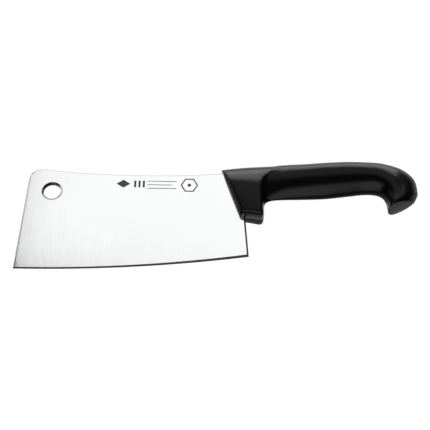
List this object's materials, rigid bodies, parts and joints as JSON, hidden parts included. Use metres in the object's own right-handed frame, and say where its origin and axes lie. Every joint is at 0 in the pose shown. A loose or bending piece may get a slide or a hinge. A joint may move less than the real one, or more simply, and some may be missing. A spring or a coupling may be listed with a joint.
{
  "type": "meat cleaver",
  "caption": "Broad flat ground cleaver blade with a hanging hole and a moulded black grip with a finger guard and a hooked pommel.",
  "frame": {"origin": "middle of the outline seen from above, on the surface the handle rests on, the cleaver lying on its side", "axes": "+X along the length from the toe of the blade to the pommel, +Y from the cutting edge to the spine, +Z out of the upper flank"},
  "size_m": [0.3131, 0.1023, 0.0212],
  "materials": {
    "blade_steel": "finely ground satin stainless steel",
    "handle_plastic": "black moulded plastic with a fine grain"
  },
  "bodies": {
    "root": {"blade": "blade_steel", "handle": "handle_plastic"}
  },
  "joints": []
}
